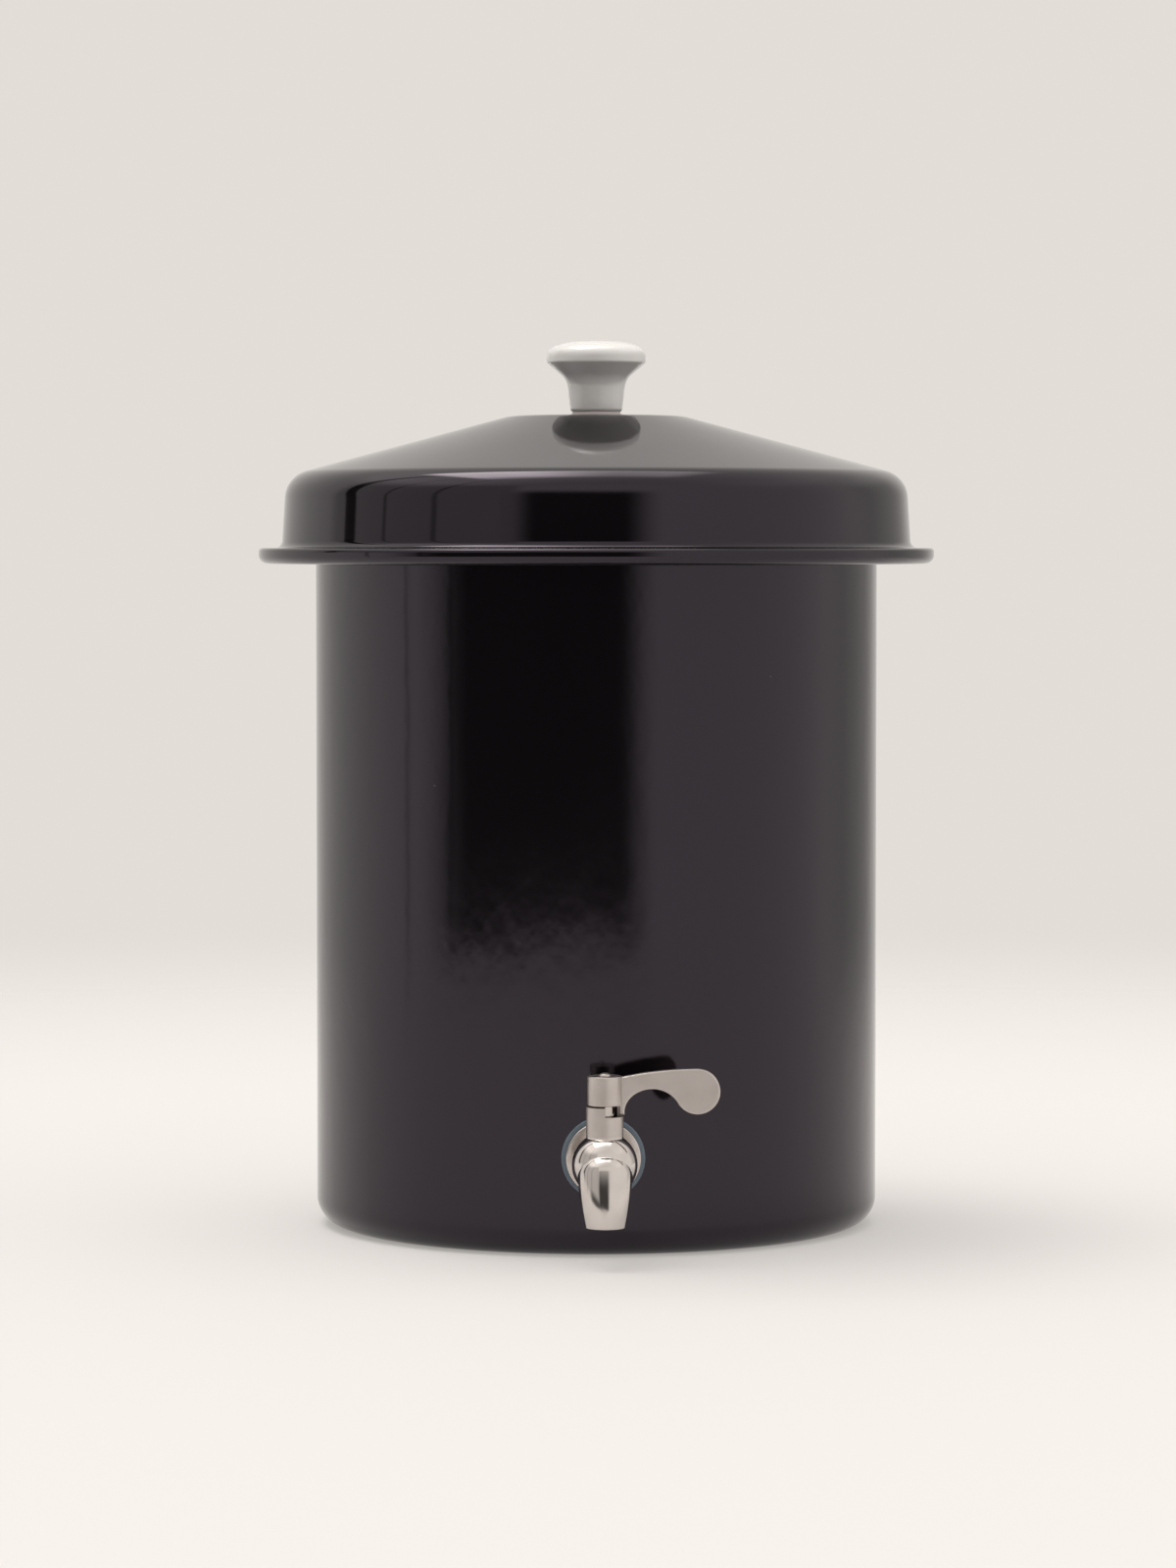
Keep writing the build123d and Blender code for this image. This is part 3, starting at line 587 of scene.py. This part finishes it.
# %% Turn the knob's washer
WASHER_RADIUS, WASHER_HOLE, WASHER_BULGE = 12.6, 2.6, 0.25
low, high = (1000 * corner.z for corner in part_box("knob_washer"))
washer_corners = [
    (WASHER_HOLE, low),
    (WASHER_RADIUS - WASHER_BULGE, low),
    (WASHER_RADIUS, (low + high) / 2),
    (WASHER_RADIUS - WASHER_BULGE, high),
    (WASHER_HOLE, high),
]
washer_outline = rounded(washer_corners, [0.5, 3.0, 0.5], 10.0)
knob_washer = turned("soft_knob_washer", washer_outline, "pale_silicone", 96, ring=True)
stands_for(knob_washer, "knob_washer", "lid")

# %% [markdown]
# ## Shank and seal
# The tap is held by a threaded tube with a flange. CAD leaves the tube plain, at the size over its
# threads, because a modelled thread costs a solver much and changes nothing. For the eye the thread
# is one small profile swept along a helix, which Geometry Nodes does with three nodes. Tube and
# seal are turned about the height axis first and then laid along the tap's axis.

# %% Geometry Nodes: a thread along a helix
threading = bpy.data.node_groups.new("thread", "GeometryNodeTree")
for name, direction, kind in (
    ("Core", "INPUT", "NodeSocketGeometry"),
    ("Turns", "INPUT", "NodeSocketFloat"),
    ("Length", "INPUT", "NodeSocketFloat"),
    ("Root Radius", "INPUT", "NodeSocketFloat"),
    ("Depth", "INPUT", "NodeSocketFloat"),
    ("Start", "INPUT", "NodeSocketVector"),
    ("Finish", "INPUT", "NodeSocketMaterial"),
    ("Threaded", "OUTPUT", "NodeSocketGeometry"),
):
    threading.interface.new_socket(name, in_out=direction, socket_type=kind)

tree = Sheet(threading)
given_sockets = threading.nodes.new("NodeGroupInput").outputs
given = {socket.name: Wire(tree, socket) for socket in given_sockets if socket.name}
helix = tree.node("GeometryNodeCurveSpiral", None, {
    "Resolution": 48,
    "Rotations": given["Turns"],
    "Start Radius": given["Root Radius"],
    "End Radius": given["Root Radius"],
    "Height": given["Length"],
})
upright = tree.node("GeometryNodeSetCurveNormal", {"mode": "Z_UP"}, {"Curve": helix})
ridge = tree.node("GeometryNodeCurvePrimitiveCircle", {"mode": "RADIUS"}, {
    "Resolution": 4,
    "Radius": given["Depth"],
})
swept = tree.node("GeometryNodeCurveToMesh", None, {
    "Curve": upright,
    "Profile Curve": ridge,
    "Fill Caps": True,
})
placed = tree.node("GeometryNodeTransform", None, {"Geometry": swept, "Translation": given["Start"]})
joined = tree.node("GeometryNodeJoinGeometry", None, {"Geometry": given["Core"]})
tree.feed(joined.socket.node.inputs["Geometry"], placed)
real = tree.node("GeometryNodeRealizeInstances", None, {"Geometry": joined})
coloured = tree.node("GeometryNodeSetMaterial", None, {"Geometry": real, "Material": given["Finish"]})
tree.node("NodeGroupOutput", None, {"Threaded": coloured})
print("thread tree:", len(threading.nodes), "nodes")

# %% Turn the shank and cut its thread
SHANK_CREST, SHANK_BORE, SHANK_END, THREAD_DEPTH, PITCH = 8.0, 5.0, 16.698, 0.6, 1.5
FLANGE_RADIUS, SEAL_THICKNESS, FLANGE_FACE, SPIGOT_RADIUS, SPIGOT_END = 18.3, 2.5, 5.5, 7.5, 13.5
THREAD_START, THREAD_RUN_OUT = 0.7, 1.0
root = SHANK_CREST - THREAD_DEPTH
shank_corners = [
    (SHANK_BORE, -SHANK_END),
    (root, -SHANK_END),
    (root, SEAL_THICKNESS),
    (FLANGE_RADIUS, SEAL_THICKNESS),
    (FLANGE_RADIUS, FLANGE_FACE),
    (SPIGOT_RADIUS, FLANGE_FACE),
    (SPIGOT_RADIUS, SPIGOT_END),
    (SHANK_BORE, SPIGOT_END),
]
shank_outline = rounded(shank_corners, [0.5, 0.2, 0.3, 1.0, 0.2, 0.4], 10.0)
shank = turned("threaded_shank", held(shank_outline, 10.0, 0.3), "stainless", 128, ring=True)
threaded_length = SHANK_END - BODY_WALL
run_tree(shank, threading, **{
    "Turns": threaded_length / PITCH,
    "Length": MM * (threaded_length - THREAD_RUN_OUT),
    "Root Radius": MM * root,
    "Depth": MM * THREAD_DEPTH,
    "Start": (0.0, 0.0, MM * (THREAD_START - SHANK_END)),
    "Finish": finishes["stainless"].material,
})
face_outwards(shank.data)
shank.data.transform(TAP_PLACE)
stands_for(shank, "tap_shank", "receptacle")

# %% Turn the outer seal and press its back on the drum
SEAL_RADIUS, SEAL_HOLE, SEAL_GAP, SEAL_BULGE = 20.4, 8.1, 0.05, 0.15
seal_corners = [
    (SEAL_HOLE, 0),
    (SEAL_RADIUS - SEAL_BULGE, 0),
    (SEAL_RADIUS, SEAL_THICKNESS / 2),
    (SEAL_RADIUS - SEAL_BULGE, SEAL_THICKNESS),
    (SEAL_HOLE, SEAL_THICKNESS),
]
seal_outline = held(rounded(seal_corners, [0.2, 4.0, 0.55], 10.0), 4.0, 0.3)
seal = turned("pressed_seal", seal_outline, "blue_silicone", 160, ring=True)
for vertex in seal.data.vertices:
    sag = BODY_RADIUS - sqrt(BODY_RADIUS**2 - (vertex.co.x / MM) ** 2)
    depth_share = 1 - vertex.co.z / (MM * SEAL_THICKNESS)
    vertex.co.z -= MM * depth_share * (sag - SEAL_GAP)
seal.data.transform(TAP_PLACE)
stands_for(seal, "tap_outer_seal", "receptacle")

# %% [markdown]
# ## Studio
# Enamel and steel show what is around them, so the room matters more than any lamp. It is drawn as
# one function of the direction: pale walls, dim where the photographer stands, a darker wall with
# one broad and two thin seams on the left, and a soft box overhead. An image of a room would do
# this too, but a function has no pixels and each part of it can be moved by one number.


# %% The room's brightness by direction
def between(angle, low, high, soft):
    """1 between two angles and 0 outside them, with soft ends."""
    return angle.step(low - soft, low + soft) * angle.step(high + soft, high - soft)


ROOM_COLOUR = (1.045, 1.0, 0.95)


def room(sheet, direction):
    """Light by direction. Turns count from the camera's side, to the right, in degrees."""
    x, y, z = (sheet.node("ShaderNodeSeparateXYZ", None, {0: direction}, axis) for axis in "XYZ")
    turn = x.maths("ARCTAN2", -y) * degrees(1)
    rise = z.maths("ARCTAN2", (x * x + y * y).maths("SQRT")) * degrees(1)
    behind = turn.maths("ABSOLUTE").step(100, 150)
    walls = (0.9 - behind * (0.17 - rise.step(7, 28) * 0.06)) * (1.0 - rise.step(36, 64) * 0.15)

    dim = between(turn, -31, 16, 8) * rise.step(32, 10)
    low_dim = turn.step(-80, -54) * turn.step(24, 2) * rise.step(6, 1)
    left_wall = between(turn, -113, -33, 4) * rise.step(0, 5) * rise.step(48, 34)
    seam = between(turn + rise * 0.22, -104.5, -98.3, 0.7) * rise.step(0, 5) * rise.step(76, 70)
    thin_seams = (between(turn, -85.2, -83.6, 0.5) + between(turn, -63.5, -61.3, 0.5)) * rise.step(72, 60)
    walls = walls * (1.0 - left_wall * 0.33) * (1.0 - thin_seams * 0.5) * (1.0 - seam * 0.93)
    walls = walls * (1.0 - dim.maths("MAXIMUM", low_dim) * 0.93)
    walls = walls * (1.0 - between(turn, 112, 150, 10) * rise.step(30, 15) * 0.28)

    across, back = x / z, y / z
    high = rise.step(26, 44)
    ceiling = (0.35 + across.step(0.3, -0.6)) * back.step(-0.9, -0.2) * back.step(1.1, 0.4) * high * 0.4
    box = across.step(-0.58, -0.46) * across.step(0.38, 0.22) * (0.3 + across.step(0.08, -0.25) * 0.7)
    level = walls + ceiling + box * back.step(-0.3, 0.06) * back.step(0.52, 0.38) * high * 5.2
    return sheet.node("ShaderNodeVectorMath", {"operation": "SCALE"}, {0: ROOM_COLOUR, "Scale": level})


world = bpy.data.worlds.new("room")
bpy.context.scene.world = world
world.use_nodes = True
sheet = Sheet(world.node_tree)
background = world.node_tree.nodes["Background"]
direction = sheet.node("ShaderNodeTexCoord", output="Generated")
sheet.feed(background.inputs["Color"], room(sheet, direction))
print("room:", len(world.node_tree.nodes), "nodes")

# %% [markdown]
# ### Floor
# The floor is a pale, dull disc that keeps the shadow. Alpha fades its edge into the backdrop, so
# no horizon shows. Part of its paleness is a glow. Light Path lets only the camera, mirrors and
# glass see that glow, so it puts no light on the filter.

# %% Floor that ends softly
FLOOR_RADIUS, FLOOR_DROP = 3.0, 0.0002
floor_finish = Finish("pale_floor")
x, y = (floor_finish.node("ShaderNodeSeparateXYZ", None, {0: floor_finish.place}, axis) for axis in "XY")
distance = (x * x + (y + 0.3) * (y + 0.3)).maths("SQRT")
front = y.step(0.3, -0.5)
kept = distance.step(2.4, 0.8) * (1.0 - front) + distance.step(2.1, 1.45) * front
ray_names = ("Is Camera Ray", "Is Glossy Ray", "Is Transmission Ray")
rays = [floor_finish.node("ShaderNodeLightPath", output=name) for name in ray_names]
seen = rays[0].maths("MAXIMUM", rays[1]).maths("MAXIMUM", rays[2])
glow = floor_finish.node("ShaderNodeVectorMath", {"operation": "SCALE"}, {0: ROOM_COLOUR, "Scale": seen})
floor_finish.set(base_color=(0.45, 0.442, 0.44, 1.0), roughness=0.9, specular_ior_level=0.1)
floor_finish.set(emission_color=glow, emission_strength=0.32, alpha=kept)

disc = {"cap_ends": True, "segments": 96, "radius": FLOOR_RADIUS}
floor_mesh = plain_mesh("floor", bmesh.ops.create_circle, **disc)
floor_mesh.materials.append(floor_finish.material)
floor = new_object("floor", floor_mesh)
floor.location.z = -FLOOR_DROP
floor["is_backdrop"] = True
print("floor:", 2 * FLOOR_RADIUS, "m across")

# %% [markdown]
# ### Backdrop
# The room's dim side would be a dark background in a view from behind. A large sphere that only
# the camera sees hides it. It has the tone of the walls behind the filter, so the enamel's edges,
# which mirror those walls, meet it without a step.

# %% Pale backdrop, for the camera alone
BACKDROP_RADIUS = 30.0
backdrop_finish = Finish("pale_backdrop")
backdrop_finish.set(base_color=(0.0, 0.0, 0.0, 1.0), specular_ior_level=0.0)
backdrop_finish.set(emission_color=(0.763, 0.724, 0.680, 1.0), emission_strength=1.0)
ball = {"subdivisions": 4, "radius": BACKDROP_RADIUS}
backdrop_mesh = plain_mesh("backdrop", bmesh.ops.create_icosphere, **ball)
backdrop_mesh.materials.append(backdrop_finish.material)
backdrop = new_object("backdrop", backdrop_mesh)
backdrop.visible_diffuse = False
backdrop.visible_glossy = False
backdrop.visible_transmission = False
backdrop.visible_shadow = False
backdrop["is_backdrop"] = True
print("backdrop:", len(backdrop_mesh.polygons), "faces")

# %% [markdown]
# ## Camera
# The photograph fits a long lens a little over two and a half metres away, about level with the
# top of the drum, so circles there are seen edge-on and the drum's foot is a flat ellipse.

# %% Camera
CAMERA_DISTANCE, CAMERA_HEIGHT, CAMERA_TURN = 2.65, 0.350, -1.36
LENS, SENSOR_WIDTH = 119.07, 36.0
AIM = Vector((-0.00425, 0, 0.224))
camera_data = bpy.data.cameras.new("camera")
camera_data.lens = LENS
camera_data.sensor_width = SENSOR_WIDTH
camera = new_object("camera", camera_data)
swing = radians(CAMERA_TURN)
camera.location = (CAMERA_DISTANCE * sin(swing), -CAMERA_DISTANCE * cos(swing), CAMERA_HEIGHT)
camera.rotation_euler = (AIM - camera.location).to_track_quat("-Z", "Y").to_euler()
bpy.context.scene.camera = camera
bpy.context.scene.view_settings.view_transform = "Standard"
print("camera at:", [round(value, 3) for value in camera.location], "lens:", LENS, "mm")

# %% [markdown]
# ## Measure
# The box of all that is seen is measured once more and printed in millimetres.

# %% Measure and finish
low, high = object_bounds()
print("visual box in mm:", [round(1000 * side, 1) for side in high - low])
